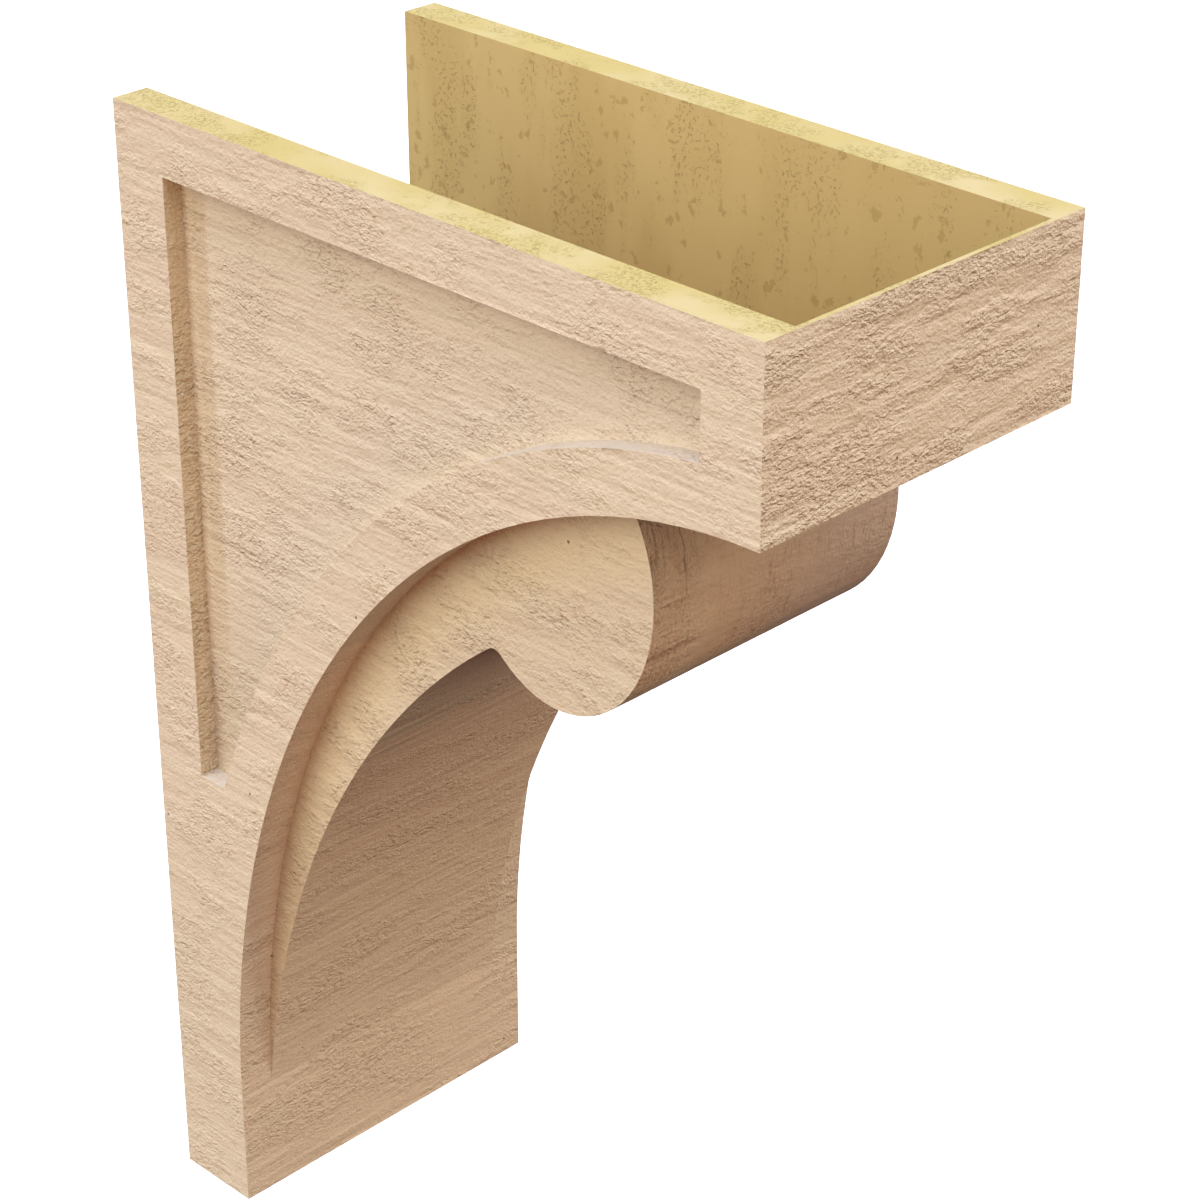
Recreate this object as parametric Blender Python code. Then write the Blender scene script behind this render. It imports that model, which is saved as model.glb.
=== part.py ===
"""Hollow moulded corbel: two cheeks, a front apron, a curved brace and a roll, all in one piece.

Metres, +Z up. The front faces -Y, the wall plane is Y = 0 and +X is to the right seen from the front.
The origin is the middle of the foot's back face, where the corbel meets its wall.
"""

import math

import bmesh
import bpy

INCH = 0.0254

# Overall block
WIDTH = 4.0 * INCH
DEPTH = 8.0 * INCH
HEIGHT = 12.0 * INCH

# Walls
CHEEK = 0.405 * INCH
APRON_WALL = 0.055 * INCH
FLOOR = CHEEK

# Foot, solid over its lowest stretch
FOOT_DEPTH = 1.0 * INCH
FOOT_BLOCK = 1.0 * INCH

# Curves of the side view: centre (forward of the wall, above the foot's underside) and half axes
ARCH_CENTRE = (DEPTH, 1.38 * INCH)
ARCH_HALF = (DEPTH - FOOT_DEPTH, 8.82 * INCH)
BRACE_CENTRE = (8.51 * INCH, -0.05 * INCH)
BRACE_HALF = (7.60 * INCH, 9.33 * INCH)
ROLL_CENTRE = (5.29 * INCH, 8.97 * INCH)
ROLL_HALF = (1.18 * INCH, 1.42 * INCH)
NOTCH_RADIUS = 0.12 * INCH

# Sunk panel in the outer face of each cheek, with one margin at the sides and another above and along the arch
PANEL_DEPTH = 0.21 * INCH
PANEL_SIDE_MARGIN = WIDTH / 6
PANEL_ARCH_MARGIN = 0.60 * INCH
PANEL_FOOT = 5.10 * INCH

# Segments along each curve
ARCH_STEPS = 40
BRACE_STEPS = 32
ROLL_STEPS = 32
NOTCH_STEPS = 4

OVERSHOOT = 0.5 * INCH
BISECTIONS = 40
SHARP_ANGLE = math.radians(25)
PRIMER_COLOUR = (0.70, 0.53, 0.38, 1.0)
PRIMER_ROUGHNESS = 0.75


class Ellipse:
    """A curve of the side view. Its angle is 0 nearest to the wall and a quarter turn at the top."""

    def __init__(self, centre, half):
        self.centre = centre
        self.half = half

    def point(self, angle):
        forward = self.centre[0] - self.half[0] * math.cos(angle)
        up = self.centre[1] + self.half[1] * math.sin(angle)
        return forward, up

    def arc(self, start, end, steps):
        return [self.point(start + (end - start) * i / steps) for i in range(steps + 1)]

    def grown(self, distance):
        return Ellipse(self.centre, (self.half[0] + distance, self.half[1] + distance))

    def angle_at_forward(self, forward):
        return math.acos((self.centre[0] - forward) / self.half[0])

    def angle_at_height(self, up):
        return math.asin((up - self.centre[1]) / self.half[1])

    def holds(self, point):
        across = (point[0] - self.centre[0]) / self.half[0]
        above = (point[1] - self.centre[1]) / self.half[1]
        return math.hypot(across, above) < 1.0

    def angle_meeting(self, other, outside, within):
        """The angle at which this curve enters the other one, between an outside and an inside angle."""
        for _ in range(BISECTIONS):
            middle = (outside + within) / 2
            if other.holds(self.point(middle)):
                within = middle
            else:
                outside = middle
        return (outside + within) / 2


ARCH = Ellipse(ARCH_CENTRE, ARCH_HALF)
CAVITY_FLOOR = ARCH.grown(FLOOR)
INFILL_ROOT = ARCH.grown(FLOOR / 2)
PANEL_EDGE = ARCH.grown(PANEL_ARCH_MARGIN)
BRACE = Ellipse(BRACE_CENTRE, BRACE_HALF)
ROLL = Ellipse(ROLL_CENTRE, ROLL_HALF)


def clear_scene():
    for obj in list(bpy.data.objects):
        bpy.data.objects.remove(obj, do_unlink=True)


def rounded_corner(before, corner, after, radius, steps):
    """Points of the arc that rounds the corner between two straight lines."""
    arms = []
    for end in (before, after):
        length = math.dist(end, corner)
        arms.append(((end[0] - corner[0]) / length, (end[1] - corner[1]) / length))
    half_angle = math.acos(arms[0][0] * arms[1][0] + arms[0][1] * arms[1][1]) / 2
    inward = (arms[0][0] + arms[1][0], arms[0][1] + arms[1][1])
    to_centre = radius / math.sin(half_angle) / math.hypot(*inward)
    centre = (corner[0] + inward[0] * to_centre, corner[1] + inward[1] * to_centre)
    reach = radius / math.tan(half_angle)
    ends = [
        math.atan2(corner[1] + arm[1] * reach - centre[1], corner[0] + arm[0] * reach - centre[0])
        for arm in arms
    ]
    sweep = (ends[1] - ends[0] + math.pi) % math.tau - math.pi
    angles = [ends[0] + sweep * i / steps for i in range(steps + 1)]
    return [(centre[0] + radius * math.cos(a), centre[1] + radius * math.sin(a)) for a in angles]


def extruded(name, outline, left, right):
    """A closed prism: the outline (forward, up) swept across X from left to right."""
    mesh = bpy.data.meshes.new(name)
    bm = bmesh.new()
    foot_underside = -FOOT_BLOCK / 2
    corners = [bm.verts.new((left, -forward, up + foot_underside)) for forward, up in outline]
    swept = bmesh.ops.extrude_face_region(bm, geom=[bm.faces.new(corners)], use_keep_orig=True)
    moved = [item for item in swept["geom"] if isinstance(item, bmesh.types.BMVert)]
    bmesh.ops.translate(bm, verts=moved, vec=(right - left, 0.0, 0.0))
    bmesh.ops.recalc_face_normals(bm, faces=bm.faces)
    bm.to_mesh(mesh)
    bm.free()
    obj = bpy.data.objects.new(name, mesh)
    bpy.context.scene.collection.objects.link(obj)
    return obj


def body_outline():
    """Foot, arch, apron front and top, closed along the wall."""
    arch = ARCH.arc(0.0, math.pi / 2, ARCH_STEPS)
    return [(0.0, 0.0), (FOOT_DEPTH, 0.0)] + arch + [(DEPTH, HEIGHT), (0.0, HEIGHT)]


def infill_outline():
    """Brace and roll between the cheeks, rooted half way into the floor above the arch."""
    bottom = BRACE.angle_at_height(FOOT_BLOCK)
    brace_end = BRACE.angle_meeting(ROLL, bottom, BRACE.angle_at_forward(ROLL_CENTRE[0]))
    brace = BRACE.arc(bottom, brace_end, BRACE_STEPS)

    roll_start = ROLL.angle_meeting(BRACE, 0.0, -math.pi / 2)
    roll_end = ROLL.angle_meeting(INFILL_ROOT, -3 * math.pi / 2, -math.pi)
    roll = ROLL.arc(roll_start, roll_end, ROLL_STEPS)

    notch = rounded_corner(brace[-2], brace[-1], roll[1], NOTCH_RADIUS, NOTCH_STEPS)
    root_top = INFILL_ROOT.angle_at_forward(roll[-1][0])
    root_foot = INFILL_ROOT.angle_at_height(FOOT_BLOCK)
    root = INFILL_ROOT.arc(root_top, root_foot, ARCH_STEPS)
    return brace[:-1] + notch + roll[1:-1] + root


def cavity_outline():
    """The hollow above the floor and the foot block, run out past the open back and top."""
    front = DEPTH - APRON_WALL
    floor = CAVITY_FLOOR.arc(0.0, CAVITY_FLOOR.angle_at_forward(front), ARCH_STEPS)
    above = HEIGHT + OVERSHOOT
    start = (FOOT_DEPTH - FLOOR, FOOT_BLOCK)
    return [(-OVERSHOOT, FOOT_BLOCK), start] + floor + [(front, above), (-OVERSHOOT, above)]


def panel_outline():
    """Short level foot, the arch's curve and straight sides and top."""
    back = PANEL_SIDE_MARGIN
    front = DEPTH - PANEL_SIDE_MARGIN
    top = HEIGHT - PANEL_ARCH_MARGIN
    ends = PANEL_EDGE.angle_at_height(PANEL_FOOT), PANEL_EDGE.angle_at_forward(front)
    return [(back, PANEL_FOOT)] + PANEL_EDGE.arc(*ends, ARCH_STEPS) + [(front, top), (back, top)]


def combine(target, helper, operation):
    helper.hide_render = True
    helper.display_type = "WIRE"
    boolean = target.modifiers.new(helper.name, "BOOLEAN")
    boolean.operation = operation
    boolean.solver = "EXACT"
    boolean.object = helper


def primer_material():
    material = bpy.data.materials.new("primed_foam")
    material.use_nodes = True
    shader = material.node_tree.nodes["Principled BSDF"]
    shader.inputs["Base Color"].default_value = PRIMER_COLOUR
    shader.inputs["Roughness"].default_value = PRIMER_ROUGHNESS
    shader.inputs["Metallic"].default_value = 0.0
    return material


def build_corbel():
    side = WIDTH / 2
    inner = side - CHEEK
    corbel = extruded("corbel", body_outline(), -side, side)
    combine(corbel, extruded("infill", infill_outline(), -inner, inner), "UNION")
    combine(corbel, extruded("cavity", cavity_outline(), -inner, inner), "DIFFERENCE")
    for name, sign in (("panel_left", -1), ("panel_right", 1)):
        ends = sorted((sign * (side - PANEL_DEPTH), sign * (side + OVERSHOOT)))
        combine(corbel, extruded(name, panel_outline(), *ends), "DIFFERENCE")
    corbel.data.shade_smooth()
    corbel.data.set_sharp_from_angle(angle=SHARP_ANGLE)
    corbel.data.materials.append(primer_material())


clear_scene()
build_corbel()
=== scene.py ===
import math

import bpy
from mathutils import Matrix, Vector, noise


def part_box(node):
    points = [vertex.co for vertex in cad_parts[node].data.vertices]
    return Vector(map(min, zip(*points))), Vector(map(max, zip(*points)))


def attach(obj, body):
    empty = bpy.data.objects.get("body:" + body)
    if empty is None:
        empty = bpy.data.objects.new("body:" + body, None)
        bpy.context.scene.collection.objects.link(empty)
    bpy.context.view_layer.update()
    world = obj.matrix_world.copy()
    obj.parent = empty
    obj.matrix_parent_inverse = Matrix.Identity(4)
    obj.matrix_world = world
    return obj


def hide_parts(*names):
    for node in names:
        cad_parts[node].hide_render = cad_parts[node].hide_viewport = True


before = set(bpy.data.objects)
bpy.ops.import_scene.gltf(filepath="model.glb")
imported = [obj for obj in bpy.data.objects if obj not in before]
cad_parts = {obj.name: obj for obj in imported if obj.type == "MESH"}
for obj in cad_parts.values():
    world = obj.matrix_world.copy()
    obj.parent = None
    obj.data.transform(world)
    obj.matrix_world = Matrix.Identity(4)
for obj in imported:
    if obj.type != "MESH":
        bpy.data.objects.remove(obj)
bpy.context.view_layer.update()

low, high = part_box("corbel")

inch = 0.0254
mm = 0.001
touch = 0.1 * mm                                # how near counts as lying on a plane
noiseTurn = (0.5, 0.6, 0.4)                     # turns each noise, so that its own grid follows no face
shiftWay = (1.0, 0.7, 1.3)                      # the way a shifted noise moves
dotEdge = 0.6                                   # the share of a dot that is fully dark


def deselectAll():
    bpy.ops.object.select_all(action="DESELECT")


def makeActive(obj):
    deselectAll()
    obj.select_set(True)
    bpy.context.view_layer.objects.active = obj


# node helpers: each gives back the socket that holds its result

def addMath(tree, operation, first, second=None, third=None):
    node = tree.nodes.new("ShaderNodeMath")
    node.operation = operation
    for socket, value in zip(node.inputs, (first, second, third)):
        if isinstance(value, bpy.types.NodeSocket):
            tree.links.new(value, socket)
        elif value is not None:
            socket.default_value = value
    return node.outputs[0]


def addRange(tree, value, start, end, startTo=0.0, endTo=1.0):
    node = tree.nodes.new("ShaderNodeMapRange")
    node.interpolation_type = "SMOOTHSTEP"
    tree.links.new(value, node.inputs["Value"])
    node.inputs["From Min"].default_value = start
    node.inputs["From Max"].default_value = end
    node.inputs["To Min"].default_value = startTo
    node.inputs["To Max"].default_value = endTo
    return node.outputs["Result"]


def addScaled(tree, coords, size, shift):
    # coordinates in which the size, in mm along each axis, counts as one
    node = tree.nodes.new("ShaderNodeMapping")
    node.inputs["Scale"].default_value = [1 / (mm * length) for length in size]
    node.inputs["Location"].default_value = [shift * way for way in shiftWay]
    node.inputs["Rotation"].default_value = noiseTurn
    tree.links.new(coords, node.inputs["Vector"])
    return node.outputs["Vector"]


def addNoise(tree, coords, size, detail, rough, shift):
    node = tree.nodes.new("ShaderNodeTexNoise")
    node.inputs["Scale"].default_value = 1.0
    node.inputs["Detail"].default_value = detail
    node.inputs["Roughness"].default_value = rough
    tree.links.new(addScaled(tree, coords, size, shift), node.inputs["Vector"])
    return node.outputs["Fac"]


def addCells(tree, coords, size, shift=0.0):
    # the distance from the middles of scattered cells, in cells
    node = tree.nodes.new("ShaderNodeTexVoronoi")
    node.inputs["Scale"].default_value = 1.0
    tree.links.new(addScaled(tree, coords, size, shift), node.inputs["Vector"])
    return node.outputs["Distance"]


def addDots(tree, coords, cell, radius):
    # 1 inside small scattered dots and 0 between them
    share = radius / cell
    return addRange(tree, addCells(tree, coords, [cell] * 3), dotEdge * share, share, 1.0, 0.0)


def addMix(tree, share, first, second):
    node = tree.nodes.new("ShaderNodeMix")
    node.data_type = "RGBA"
    colours = [socket for socket in node.inputs if socket.type == "RGBA"]
    for socket, value in zip([node.inputs[0]] + colours, (share, first, second)):
        if isinstance(value, bpy.types.NodeSocket):
            tree.links.new(value, socket)
        else:
            socket.default_value = (*value, 1.0)
    return [socket for socket in node.outputs if socket.type == "RGBA"][0]


def addBlend(tree, share, first, second):
    # the same for plain values
    return addMath(tree, "MULTIPLY_ADD", addMath(tree, "SUBTRACT", second, first), share, first)


# everything about the corbel: lengths in mm unless they are given in inches, colours linear
corbel = {
    # the moulded body that the finish follows, forward of the wall and up from the foot
    "cheek": 0.405 * inch,
    "panelDepth": 0.21 * inch,
    "archCentre": (8.0 * inch, 1.38 * inch),
    "archHalf": (7.0 * inch, 8.82 * inch),
    "rollCentre": (5.29 * inch, 8.97 * inch),
    "rollHalf": (1.18 * inch, 1.42 * inch),
    "mergeWithin": 0.01,
    "flatWithin": 0.1,                          # degrees
    "smoothAngle": 50,                          # degrees
    # how the faces are told apart
    "sorting": {
        "flat": 0.99,                           # a face that looks straight along an axis
        "rimDepth": 0.75,                       # share of the panel's depth
        "lipUp": 0.3,                           # how far up the lip of the panel's arch looks
        "pocketLevel": 1.02,                    # beyond this share of the arch lies the pocket
        "rollBand": 0.03,                       # how near the roll's oval its faces lie
        "underArch": 0.995,
    },
    # spacing of the fine grid that carries the relief
    "grid": {
        "quick": 2,
        "apron": (0.80, 0.5),                   # across X, up Z
        "arch": (1.6, 1.3),                     # across X, along the curve
        "raw": 1.2,
        "back": 2.0,
        "pocket": 3.0,
        "cheek": (2.2, 1.0),                    # along Y, up Z
    },
    # relief pressed into the faces: depth, then length along the grain and across it
    "relief": {
        "lump": (0.14, 4.2, 2.2),
        "band": (0.20, 44.0, 3.2),
        "torn": (0.30, 3.0, 2.0),
        "patch": (24.0, 14.0),
        "patchNoise": (0.05, 0.40),             # where a patch begins and where it is at its deepest
        "raw": (0.14, 2.4, 2.4),
        "rawLevel": 0.25,
        "bandShift": 17,                        # so that bands and torn places don't follow the lumps
        "tornShift": 40,
        "edge": 0.15,                           # how much of it the edges take
        "oneFacing": 0.8,                       # faces of one finish that look this much alike move as one
        "deepest": 0.50,
    },
    # each finish: the way its grain runs and how much of the relief it gets
    "grain": {
        "cheekFace": ("y", 0.9),
        "panelFace": ("y", 0.8),
        "panelRim": ("x", 0.5),
        "panelArch": ("x", 0.5),
        "braceSide": ("y", 0.6),
        "apronFace": ("x", 1.05),
        "archFace": ("x", 0.8),
        "archEdge": ("x", 0.8),
        "rollFace": ("x", 0.3),
        "footUnder": ("x", 0.8),
        "rawTop": ("raw", 0.7),
        "rawBack": ("raw", 1.0),
        "rawInside": ("raw", 0.4),
        "pocketFloor": ("raw", 0.4),
    },
    # primer over the moulded grain
    "primer": {
        "roughness": 0.82,
        "shine": 0.22,
        # heights of the bump
        "grit": 0.24,
        "lump": 0.38,
        "band": 0.52,
        "pit": 0.13,
        "split": 0.20,
        "pin": 0.5,
        "evenShare": 0.58,                      # how much of grit and lumps every place gets
        "patchShare": 0.85,                     # and how much more a patch gets
        "pinCell": 15.0,                        # how far apart the pin holes lie
        "pinRadius": 0.42,
        # the painted shade inside the pin holes
        "pinHoleShadeColour": (0.10, 0.055, 0.03),
        # where in its noise each thing begins and where it is full
        "patchSpan": (0.42, 0.64),
        "gapSpan": (0.58, 0.85),                # pits in the gaps between cells
        "toneSpan": (0.35, 0.65),
        "lowSpan": (0.46, 0.26),
        "hollowSpan": (0.6, 1.0),
        # how strongly each darkens: painted shade in the valleys, pits, hollows and pin holes, and the
        # crack's own dark
        "valleyShade": 0.22,
        "pitShade": 0.34,
        "hollowShade": 0.20,
        "pinHoleShade": 0.75,
        "splitStain": 0.75,
        "toneSize": 2.2,                        # in bands
        # detail, roughness and shift of each noise
        "noises": {
            "grit": (1.0, 0.5, 71.0),
            "lump": (2.0, 0.5, 3.0),
            "band": (2.0, 0.5, 11.0),
            "patch": (3.0, 0.6, 23.0),
            "tone": (2.0, 0.5, 47.0),
            "split": (2.0, 0.5, 5.0),
        },
        "gapShift": 31.0,
    },
    # bare cut foam
    "foam": {
        "roughness": 0.85,
        "shine": 0.20,
        "pit": 0.16,
        # how far a clump and an open cell take to reach their full strength
        "clumpWidth": 0.16,
        "openWidth": 0.08,
        "blotSpan": (0.39, 0.34),
        "toneSpan": (0.40, 0.62),
        "toneSize": 1.6,                        # in clumps
        "clumpTint": 0.6,
        "noises": {
            "clump": (3.0, 0.6, 7.0),
            "pit": (2.5, 0.6, 19.0),
            "blot": (3.0, 0.6, 29.0),
            "tone": (2.0, 0.5, 53.0),
        },
    },
    # each finish: sizes along x, y and z, and how strong its bump is
    "finishes": {
        "cheekFace": {
            "colour": (0.695, 0.545, 0.400), "tint": (0.680, 0.518, 0.388), "deep": (0.46, 0.265, 0.130),
            "grit": (0.6, 0.7, 0.6), "lump": (1.2, 1.5, 1.0), "band": (8, 38, 2.6), "patch": (30, 22, 13),
            "force": 0.95,
            # painted shade: the cheek darkens towards the foot
            "fades": [("Z", 130, 50, (0.655, 0.515, 0.378))],
        },
        "panelFace": {
            "colour": (0.695, 0.549, 0.410), "tint": (0.680, 0.525, 0.390), "deep": (0.46, 0.260, 0.125),
            "grit": (0.6, 0.7, 0.6), "lump": (1.2, 1.5, 1.0), "band": (8, 38, 2.8), "patch": (30, 24, 14),
            "force": 1.35,
            "fades": [
                # painted shade: darker near the lip of the panel's arch
                ("arch", 1.22, 1.10, (0.665, 0.525, 0.398)),
                ("Y", -26.0, -23.8, (0.595, 0.448, 0.302)),     # the shade beside the panel's back wall
                # painted light: a lighter strip in the corner by the back wall
                ("Y", -21.5, -18.5, (0.740, 0.590, 0.405)),
                # painted shade: darker towards the bottom of the panel
                ("Z", 190, 115, (0.590, 0.455, 0.325)),
            ],
        },
        "panelRim": {
            "colour": (0.735, 0.605, 0.420), "tint": (0.710, 0.575, 0.395), "deep": (0.46, 0.26, 0.13),
            "grit": (0.9, 0.8, 0.8), "lump": (2.2, 1.3, 1.3), "band": (2.4, 30, 30), "patch": (30, 30, 30),
            "force": 2.6,
        },
        # painted light: a greyer copy of the rim's finish for the lip's faces that look up, painting the cool
        # tone of their highlight
        "panelArch": {
            "like": "panelRim",
            "colour": (0.630, 0.525, 0.415), "tint": (0.615, 0.510, 0.400),
            "force": 0.7,
        },
        "braceSide": {
            "colour": (0.672, 0.520, 0.375), "tint": (0.662, 0.503, 0.360), "deep": (0.46, 0.26, 0.12),
            "grit": (0.6, 0.7, 0.6), "lump": (1.3, 1.6, 1.1), "band": (8, 24, 4.0), "patch": (30, 20, 14),
            "force": 1.4,
            # painted light: lighter and yellower just under the arch's edge; painted shade: darker towards
            # the bottom
            "fades": [("arch", 0.89, 0.97, (0.740, 0.575, 0.375)), ("Z", 150, 80, (0.560, 0.405, 0.252))],
        },
        "apronFace": {
            "colour": (0.725, 0.580, 0.420), "tint": (0.705, 0.550, 0.395), "deep": (0.44, 0.245, 0.12),
            "grit": (0.7, 0.7, 0.6), "lump": (1.6, 1.1, 0.95), "band": (38, 8, 3.8), "patch": (30, 30, 10),
            "force": 1.4,
        },
        "archFace": {
            "colour": (0.680, 0.530, 0.382), "tint": (0.662, 0.504, 0.360), "deep": (0.40, 0.25, 0.145),
            "grit": (0.7, 0.6, 0.6), "lump": (1.7, 1.0, 1.0), "band": (50, 3.2, 3.0), "patch": (36, 20, 12),
            "force": 1.0,
            # painted shade: darker towards the foot
            "fades": [("Z", 100, 20, (0.650, 0.500, 0.360))],
        },
        "archEdge": {
            "like": "archFace",
            "force": 1.1,
            # painted shade darker towards the foot; the strip on the +X cheek is also darker
            "fades": [("Z", 30, 90, (0.700, 0.562, 0.440)), ("X", -20, 20, (0.610, 0.472, 0.342))],
        },
        "rollFace": {
            "colour": (0.640, 0.455, 0.305), "tint": (0.605, 0.420, 0.280), "deep": (0.34, 0.20, 0.115),
            "grit": (0.8, 1.0, 1.0), "lump": (1.3, 7.0, 7.0), "band": (26, 5.0, 5.0), "patch": (26, 30, 30),
            "force": 3.6,
            "fades": [("X", -24, 30, (0.553, 0.415, 0.324))],
            "inside": (2.6, 1.5, 1.5),
            "calm": 0.20,                       # how much of the relief stays there
            "endLines": (-31, -19),             # between these the lines turn from round the roll to along it
            "split": (-29.5, 4.8, 0.32),        # the dark crack: place along X, wander and width
            "splitWave": (400, 9, 400),
            "splitEdge": 0.3,                   # the share of its width that is fully dark
            "splitUp": (-8, 14),                # it fades from one height to the other, round the roll
        },
        "rawTop": {
            "colour": (0.450, 0.349, 0.170), "tint": (0.410, 0.311, 0.113), "deep": (0.33, 0.240, 0.060),
            "open": 0.47, "pit": (0.8, 0.8, 0.8), "clump": (15, 20, 15), "spread": 0.44, "openCellShade": 0.50,
            "blot": (3.0, 3.0, 3.0), "blotStain": 0.15,
        },
        "rawInside": {
            "colour": (0.520, 0.375, 0.168), "tint": (0.485, 0.343, 0.145), "deep": (0.29, 0.180, 0.060),
            "open": 0.43, "pit": (0.95, 0.85, 1.1), "clump": (20, 10, 38), "spread": 0.46, "openCellShade": 0.34,
            "blot": (4.0, 3.4, 4.2), "blotStain": 0.42,
            "fades": [("Y", -70, -190, (0.445, 0.318, 0.138))],
        },
    },
}


def steps(start, end, spacing):
    # places between two ends, evenly spread and about the spacing apart
    count = max(1, round((end - start) / spacing))
    return [start + (end - start) * k / count for k in range(1, count)]


def ovalShare(name, forward, up):
    (cf, cu), (hf, hu) = corbel[name + "Centre"], corbel[name + "Half"]
    return math.hypot((forward - cf) / hf, (up - cu) / hu)


def finishOf(face):
    sorting = corbel["sorting"]
    flat = sorting["flat"]
    n, c = face.normal, face.center
    archShare, rollShare = (ovalShare(name, high.y - c.y, c.z - low.z) for name in ("arch", "roll"))
    if n.z > flat and c.z > high.z - touch:
        return "rawTop"
    if n.y > flat and c.y > high.y - touch:
        return "rawBack"
    if n.z < -flat and c.z < low.z + touch:
        return "footUnder"
    if n.y < -flat and c.y < low.y + touch:
        return "apronFace"
    if abs(n.x) > flat:
        if abs(c.x) > high.x - touch:
            return "cheekFace"
        if abs(c.x) > high.x - corbel["cheek"] + touch:
            return "panelFace"
        return "braceSide" if n.x * c.x > 0 else "rawInside"
    if abs(c.x) > high.x - sorting["rimDepth"] * corbel["panelDepth"]:
        # the lip's faces that look up take the greyer copy of the rim's finish, painted light
        return "panelArch" if n.z > sorting["lipUp"] else "panelRim"
    if archShare > sorting["pocketLevel"]:
        return "pocketFloor"
    if abs(rollShare - 1) < sorting["rollBand"] and archShare < sorting["underArch"]:
        return "rollFace"
    return "archEdge" if abs(c.x) > high.x - corbel["cheek"] else "archFace"


def copyOfNode(name):
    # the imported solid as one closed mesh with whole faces, ready to be cut
    makeActive(bpy.data.objects["corbel"])
    bpy.ops.object.duplicate()
    piece = bpy.context.object
    piece.name = piece.data.name = name
    bpy.ops.object.mode_set(mode="EDIT")
    bpy.ops.mesh.select_all(action="SELECT")
    bpy.ops.mesh.remove_doubles(threshold=corbel["mergeWithin"] * mm)
    bpy.ops.mesh.dissolve_limited(angle_limit=math.radians(corbel["flatWithin"]))
    bpy.ops.mesh.customdata_custom_splitnormals_clear()
    bpy.ops.object.mode_set(mode="OBJECT")
    return piece


def giveSlots(piece, materials):
    piece.data.materials.clear()
    names = list(corbel["grain"])
    for name in names:
        piece.data.materials.append(materials[name])
    for face in piece.data.polygons:
        face.material_index = names.index(finishOf(face))


def cut(piece, names, planes):
    # cuts the faces of the named finishes along each plane, a point and a normal
    bpy.ops.object.mode_set(mode="EDIT")
    bpy.ops.mesh.select_all(action="DESELECT")
    for name in names:
        piece.active_material_index = list(corbel["grain"]).index(name)
        bpy.ops.object.material_slot_select()
    bpy.ops.mesh.hide(unselected=True)
    for place, normal in planes:
        bpy.ops.mesh.select_all(action="SELECT")
        bpy.ops.mesh.bisect(plane_co=place, plane_no=normal)
    bpy.ops.mesh.reveal()
    bpy.ops.object.mode_set(mode="OBJECT")


def flatPlanes(axis, spacing, start=None, end=None):
    normal = [float(i == axis) for i in range(3)]
    start = low[axis] if start is None else start
    end = high[axis] if end is None else end
    return [([place * way for way in normal], normal) for place in steps(start, end, spacing * mm)]


def spokePlanes(name, sweep, spacing):
    # planes through the middle of an oval of the side view, a spacing apart along its curve
    centre, half = corbel[name + "Centre"], corbel[name + "Half"]
    turn = spacing * mm / (sum(half) / 2)
    planes = []
    for angle in steps(0, sweep, turn):
        forward = -half[0] * math.cos(angle)
        up = half[1] * math.sin(angle)
        planes.append(((0, high.y - centre[0], low.z + centre[1]), (0, up, forward)))
    return planes


def cutGrid(piece):
    grid = corbel["grid"]
    coarse = 1
    across, along = (size * coarse for size in grid["arch"])
    pocket, raw, back = (grid[name] * coarse for name in ("pocket", "raw", "back"))
    cut(piece, ["pocketFloor"], flatPlanes(0, pocket) + spokePlanes("arch", math.pi / 2, pocket))
    cut(piece, ["rawInside"], flatPlanes(1, pocket) + flatPlanes(2, pocket))
    cut(piece, ["rawTop"], flatPlanes(0, raw) + flatPlanes(1, raw))
    cut(piece, ["rawBack"], flatPlanes(0, back) + flatPlanes(2, back))
    cut(piece, ["footUnder"], flatPlanes(0, across) + flatPlanes(1, across))
    cut(piece, ["apronFace"], flatPlanes(0, grid["apron"][0] * coarse))
    cut(piece, ["apronFace"], flatPlanes(2, grid["apron"][1] * coarse))
    print("grid: raw faces, foot and apron cut")
    cut(piece, ["rollFace"], spokePlanes("roll", math.pi, along))
    curved = ["archFace", "archEdge", "panelRim", "panelArch"]
    cut(piece, curved + ["rollFace"], flatPlanes(0, across))
    cut(piece, curved, spokePlanes("arch", math.pi / 2, along))
    cut(piece, ["archFace"], flatPlanes(2, along, low.z, low.z + corbel["archCentre"][1]))
    print("grid: arch and roll cut")
    sides = ["cheekFace", "panelFace", "braceSide"]
    cut(piece, sides, flatPlanes(1, grid["cheek"][0] * coarse))
    cut(piece, sides, flatPlanes(2, grid["cheek"][1] * coarse))
    print("grid: cheeks cut")


def ramp(value, start, end):
    share = min(1.0, max(0.0, (value - start) / (end - start)))
    return share * share * (3 - 2 * share)


def grainNoise(side, along, across, size, shift=0.0):
    # smooth noise from -1 to 1 whose lumps are stretched along the grain
    depth, length, height = size
    return noise.noise(Vector((side / height, along / length, across / height + shift)))


def reliefAt(place, way):
    # the even depth of a face and how far the surface swings about it, in mm
    relief = corbel["relief"]
    x, y, z = place / mm
    if way == "raw":
        depth = relief["raw"][0]
        return depth / 2, depth * (abs(grainNoise(x, y, z, relief["raw"])) - relief["rawLevel"])
    along, side, across = (y, x, z) if way == "y" else (x, y, z)
    length, height = relief["patch"]
    patch = noise.noise(Vector((side / height, along / length, across / height)))
    torn = relief["torn"][0] * ramp(patch, *relief["patchNoise"])
    swing = relief["lump"][0] / 2 * grainNoise(side, along, across, relief["lump"])
    swing += relief["band"][0] / 2 * grainNoise(side, along, across, relief["band"], relief["bandShift"])
    swing += torn * abs(grainNoise(side, along, across, relief["torn"], relief["tornShift"]))
    return (relief["lump"][0] + relief["band"][0]) / 2, swing


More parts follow.
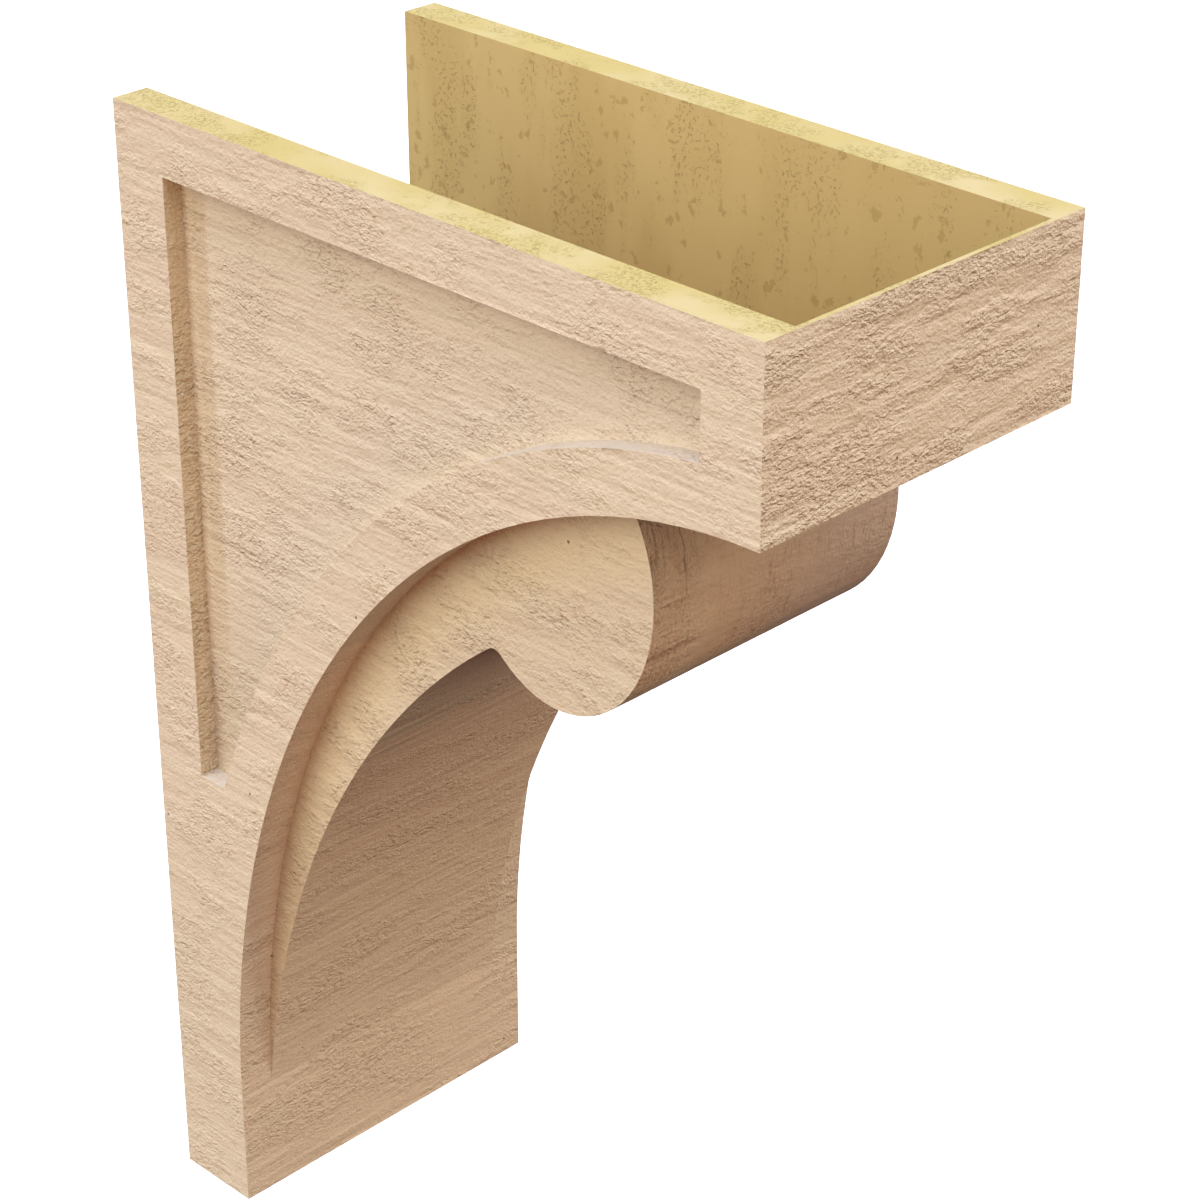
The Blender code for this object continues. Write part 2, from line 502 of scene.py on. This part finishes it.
def pressRelief(piece):
    # moves each point in from every face that it lies on, so that edges stay crisp
    mesh = piece.data
    relief = corbel["relief"]
    names = list(corbel["grain"])
    facings = [{} for _ in mesh.vertices]
    for face in mesh.polygons:
        for point in face.vertices:
            for slot, normal in facings[point].items():
                alike = normal.normalized().dot(face.normal) > relief["oneFacing"]
                if slot[0] == face.material_index and alike:
                    normal += face.normal * face.area
                    break
            else:
                key = face.material_index, len(facings[point])
                facings[point][key] = face.normal * face.area
    hollow = mesh.attributes.new("hollow", "FLOAT", "POINT")
    for point, found, value in zip(mesh.vertices, facings, hollow.data):
        move = Vector()
        deepest = 0.0
        for (slot, count), normal in found.items():
            way, share = corbel["grain"][names[slot]]
            even, swing = reliefAt(point.co, way)
            swing *= 1 if len(found) == 1 else relief["edge"]
            depth = share * max(0.0, even + swing)
            direction = normal.normalized()
            move -= direction * max(0.0, depth + move.dot(direction))
            deepest = max(deepest, depth)
        point.co += move * mm
        value.value = min(1.0, deepest / relief["deepest"])


def startMaterial(name, colour, look):
    material = bpy.data.materials.new(name)
    material.use_nodes = True
    material.diffuse_color = (*colour, 1.0)
    shader = material.node_tree.nodes["Principled BSDF"]
    shader.inputs["Roughness"].default_value = look["roughness"]
    shader.inputs["Specular IOR Level"].default_value = look["shine"]
    coords = material.node_tree.nodes.new("ShaderNodeTexCoord").outputs["Object"]
    return material, material.node_tree, shader, coords


def finishShader(tree, shader, colour, height):
    bump = tree.nodes.new("ShaderNodeBump")
    bump.inputs["Distance"].default_value = mm
    tree.links.new(height, bump.inputs["Height"])
    tree.links.new(bump.outputs["Normal"], shader.inputs["Normal"])
    tree.links.new(colour, shader.inputs["Base Color"])


def hollowOf(tree):
    node = tree.nodes.new("ShaderNodeAttribute")
    node.attribute_name = "hollow"
    return node.outputs["Fac"]


def splitCoords(tree, coords):
    split = tree.nodes.new("ShaderNodeSeparateXYZ")
    tree.links.new(coords, split.inputs[0])
    return split.outputs


def wrappedCoords(tree, coords):
    # coordinates that run along and round the roll, so that a pattern wraps it
    x, y, z = splitCoords(tree, coords)
    forward = addMath(tree, "SUBTRACT", y, high.y - corbel["rollCentre"][0])
    up = addMath(tree, "SUBTRACT", z, low.z + corbel["rollCentre"][1])
    around = addMath(tree, "MULTIPLY", addMath(tree, "ARCTAN2", up, forward), sum(corbel["rollHalf"]) / 2)
    join = tree.nodes.new("ShaderNodeCombineXYZ")
    tree.links.new(x, join.inputs[0])
    tree.links.new(around, join.inputs[1])
    return join.outputs[0]


def addSplit(tree, coords, height, look):
    # the one dark crack that runs down round the roll near its end
    place, wander, width = look["split"]
    middle = low.z + corbel["rollCentre"][1]
    start, end = (middle + up * mm for up in look["splitUp"])
    wave = addNoise(tree, coords, look["splitWave"], *corbel["primer"]["noises"]["split"])
    line = addMath(tree, "MULTIPLY_ADD", addMath(tree, "SUBTRACT", wave, 0.5), wander * mm, place * mm)
    away = addMath(tree, "ABSOLUTE", addMath(tree, "SUBTRACT", splitCoords(tree, coords)[0], line))
    line = addRange(tree, away, look["splitEdge"] * width * mm, width * mm, 1.0, 0.0)
    return addMath(tree, "MULTIPLY", line, addRange(tree, height, start, end))


def addFades(tree, place, colour, fades):
    # blends to another colour along an axis, or with the share of the arch
    for along, start, end, far in fades:
        if along == "arch":
            (centreForward, centreUp), (halfForward, halfUp) = corbel["archCentre"], corbel["archHalf"]
            forward = addMath(tree, "ADD", place[1], centreForward - high.y)
            forward = addMath(tree, "DIVIDE", forward, halfForward)
            up = addMath(tree, "SUBTRACT", place[2], low.z + centreUp)
            up = addMath(tree, "DIVIDE", up, halfUp)
            value = addMath(tree, "MULTIPLY_ADD", up, up, addMath(tree, "MULTIPLY", forward, forward))
            share = addRange(tree, addMath(tree, "SQRT", value), start, end)
        else:
            share = addRange(tree, place["XYZ".index(along)], start * mm, end * mm)
        colour = addMix(tree, share, colour, far)
    return colour


def primedMaterial(name, look):
    # tan primer over moulded grain: fine grit, lumps, long bands and pitted patches
    primer = corbel["primer"]
    force = look["force"]
    material, tree, shader, coords = startMaterial(name, look["colour"], primer)
    place = splitCoords(tree, coords)
    if "inside" in look:
        coords = wrappedCoords(tree, coords)
    noises = primer["noises"]
    grit = addNoise(tree, coords, look["grit"], *noises["grit"])
    lumps = addNoise(tree, coords, look["lump"], *noises["lump"])
    if "inside" in look:
        start, end = (side * mm for side in look["endLines"])
        inward = addRange(tree, place[0], start, end)
        lumps = addBlend(tree, inward, lumps, addNoise(tree, coords, look["inside"], *noises["lump"]))
    bands = addNoise(tree, coords, look["band"], *noises["band"])
    patch = addRange(tree, addNoise(tree, coords, look["patch"], *noises["patch"]), *primer["patchSpan"])
    gaps = addRange(tree, addCells(tree, coords, look["lump"], primer["gapShift"]), *primer["gapSpan"])
    pits = addMath(tree, "MULTIPLY", gaps, patch)
    pins = addDots(tree, coords, primer["pinCell"], primer["pinRadius"])
    rough = addMath(tree, "MULTIPLY", lumps, primer["lump"])
    rough = addMath(tree, "MULTIPLY_ADD", grit, primer["grit"], rough)
    share = addMath(tree, "MULTIPLY_ADD", patch, primer["patchShare"] * force, primer["evenShare"] * force)
    height = addMath(tree, "MULTIPLY", rough, share)
    height = addMath(tree, "MULTIPLY_ADD", bands, primer["band"] * force, height)
    height = addMath(tree, "MULTIPLY_ADD", pits, -primer["pit"] * force, height)
    if "inside" in look:
        calm = addRange(tree, place[0], start, end, 1.0, look["calm"])
        height = addMath(tree, "MULTIPLY", height, calm)
    height = addMath(tree, "MULTIPLY_ADD", pins, -primer["pin"], height)
    tone = addNoise(tree, coords, [primer["toneSize"] * size for size in look["band"]], *noises["tone"])
    colour = addMix(tree, addRange(tree, tone, *primer["toneSpan"]), look["colour"], look["tint"])
    colour = addFades(tree, place, colour, look.get("fades", []))
    # painted shade: darker towards the deep colour in the low places of the lumps, in the pits and where the
    # relief pressed deepest
    dark = addMath(tree, "MULTIPLY", addRange(tree, lumps, *primer["lowSpan"]), primer["valleyShade"])
    colour = addMix(tree, dark, colour, look["deep"])
    colour = addMix(tree, addMath(tree, "MULTIPLY", pits, primer["pitShade"]), colour, look["deep"])
    dark = addRange(tree, hollowOf(tree), *primer["hollowSpan"], 0.0, primer["hollowShade"])
    colour = addMix(tree, dark, colour, look["deep"])
    # painted shade: the pin holes are darkened almost to black
    colour = addMix(tree, addMath(tree, "MULTIPLY", pins, primer["pinHoleShade"]), colour, primer["pinHoleShadeColour"])
    if "split" in look:
        split = addSplit(tree, coords, place[2], look)
        height = addMath(tree, "MULTIPLY_ADD", split, -primer["split"], height)
        colour = addMix(tree, addMath(tree, "MULTIPLY", split, primer["splitStain"]), colour, look["deep"])
    finishShader(tree, shader, colour, height)
    return material


def rawMaterial(name, look):
    # bare cut foam: smooth cream with clumps of open cells and brown blots
    foam = corbel["foam"]
    material, tree, shader, coords = startMaterial(name, look["colour"], foam)
    noises = foam["noises"]
    clump = addNoise(tree, coords, look["clump"], *noises["clump"])
    clump = addRange(tree, clump, look["spread"], look["spread"] + foam["clumpWidth"])
    cells = addNoise(tree, coords, look["pit"], *noises["pit"])
    cells = addRange(tree, cells, look["open"], look["open"] - foam["openWidth"])
    pits = addMath(tree, "MULTIPLY", cells, clump)
    blots = addRange(tree, addNoise(tree, coords, look["blot"], *noises["blot"]), *foam["blotSpan"])
    # the brown blots are marks in the foam itself; the open cells get painted shade
    dark = addMath(tree, "MULTIPLY", blots, look["blotStain"])
    dark = addMath(tree, "MAXIMUM", addMath(tree, "MULTIPLY", pits, look["openCellShade"]), dark)
    tone = addNoise(tree, coords, [foam["toneSize"] * size for size in look["clump"]], *noises["tone"])
    colour = addMix(tree, addRange(tree, tone, *foam["toneSpan"]), look["colour"], look["tint"])
    colour = addMix(tree, addMath(tree, "MULTIPLY", clump, foam["clumpTint"]), colour, look["tint"])
    colour = addFades(tree, splitCoords(tree, coords), colour, look.get("fades", []))
    colour = addMix(tree, dark, colour, look["deep"])
    finishShader(tree, shader, colour, addMath(tree, "MULTIPLY", pits, -foam["pit"]))
    return material


def makeMaterials():
    made = {}
    for name, look in corbel["finishes"].items():
        look = {**corbel["finishes"].get(look.get("like"), {}), **look}
        made[name] = (rawMaterial if "pit" in look else primedMaterial)(name, look)
    made["footUnder"] = made["archFace"]
    made["rawBack"] = made["rawInside"]
    made["pocketFloor"] = made["rawInside"]
    print("finishes:", len(corbel["finishes"]))
    return made


def makeCorbel():
    piece = copyOfNode("corbelFoam")
    giveSlots(piece, makeMaterials())
    cutGrid(piece)
    makeActive(piece)
    bpy.ops.object.mode_set(mode="EDIT")
    bpy.ops.mesh.select_all(action="SELECT")
    bpy.ops.mesh.quads_convert_to_tris(quad_method="BEAUTY", ngon_method="BEAUTY")
    bpy.ops.object.mode_set(mode="OBJECT")
    pressRelief(piece)
    bpy.ops.object.shade_smooth_by_angle(angle=math.radians(corbel["smoothAngle"]))
    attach(piece, "root")
    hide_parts("corbel")
    print("corbel:", len(piece.data.polygons), "triangles")


# the studio: suns by the way they shine from and the light that they throw, as red, green and blue
studio = {
    "suns": {
        "topLight": ((-0.05, -0.05, 1.0), 60, (0.92, 1.07, 1.44)),
        "sideLight": ((-0.90, 0.25, 0.45), 60, (0.89, 0.92, 0.84)),
        "rightLight": ((0.80, -0.35, 0.50), 60, (0.78, 0.75, 0.70)),
        "frontLight": ((-0.15, -1.0, 0.45), 60, (0.40, 0.37, 0.27)),
        "lowLight": ((-0.60, -0.60, -0.40), 90, (0.13, 0.02, 0.0)),
        "rearLight": ((0.30, 1.0, 0.15), 60, (0.55, 0.54, 0.52)),
        "underLight": ((0.30, 0.75, -0.65), 60, (0.26, 0.25, 0.23)),
    },
    "air": (0.025, 0.022, 0.036),
    "paper": (1.0, 1.0, 1.0),
    "floorDrop": 1.4,
    "floorSide": 14.0,
    "floorColour": (0.86, 0.86, 0.86),
    "floorRoughness": 0.9,
    "sunDistance": 2,
}


def makeFloor():
    bpy.ops.mesh.primitive_plane_add(size=studio["floorSide"], location=(0, 0, low.z - studio["floorDrop"]))
    floor = bpy.context.object
    floor.name = "floor"
    material = bpy.data.materials.new("paleFloor")
    material.use_nodes = True
    shader = material.node_tree.nodes["Principled BSDF"]
    shader.inputs["Base Color"].default_value = (*studio["floorColour"], 1.0)
    shader.inputs["Roughness"].default_value = studio["floorRoughness"]
    floor.data.materials.append(material)
    floor.visible_diffuse = False               # it shows, but throws no light up at the corbel
    floor.visible_glossy = False


def makeSuns():
    for name, (direction, spread, light) in studio["suns"].items():
        bpy.ops.object.light_add(type="SUN", location=Vector(direction) * studio["sunDistance"])
        sun = bpy.context.object
        sun.name = name
        sun.rotation_euler = Vector(direction).to_track_quat("Z", "Y").to_euler()
        sun.data.energy = math.pi * max(light)
        sun.data.color = [part / max(light) for part in light]
        sun.data.angle = math.radians(spread)


def makeAir():
    world = bpy.data.worlds.new("studioAir")
    world.use_nodes = True
    tree = world.node_tree
    air = tree.nodes["Background"]
    air.inputs["Color"].default_value = (*studio["air"], 1.0)
    paper = tree.nodes.new("ShaderNodeBackground")
    paper.inputs["Color"].default_value = (*studio["paper"], 1.0)
    mix = tree.nodes.new("ShaderNodeMixShader")
    tree.links.new(tree.nodes.new("ShaderNodeLightPath").outputs["Is Camera Ray"], mix.inputs[0])
    tree.links.new(air.outputs[0], mix.inputs[1])
    tree.links.new(paper.outputs[0], mix.inputs[2])
    tree.links.new(mix.outputs[0], tree.nodes["World Output"].inputs["Surface"])
    bpy.context.scene.world = world
    bpy.context.scene.view_settings.view_transform = "Standard"


# the camera stands where the photo was taken from
camera = {
    "place": (-0.48564, -0.58793, 0.54194),
    "turn": 45.36,                              # degrees from +Y towards +X
    "down": 27.81,
    "lens": 98.14,
    "sensor": 36.0,
}


def makeCamera():
    bpy.ops.object.camera_add(location=camera["place"])
    eye = bpy.context.object
    eye.name = "camera"
    eye.rotation_euler = (math.radians(90 - camera["down"]), 0, math.radians(-camera["turn"]))
    eye.data.lens = camera["lens"]
    eye.data.sensor_width = camera["sensor"]
    bpy.context.scene.camera = eye


makeCamera()
makeFloor()
makeSuns()
makeAir()
print("studio ready")
makeCorbel()
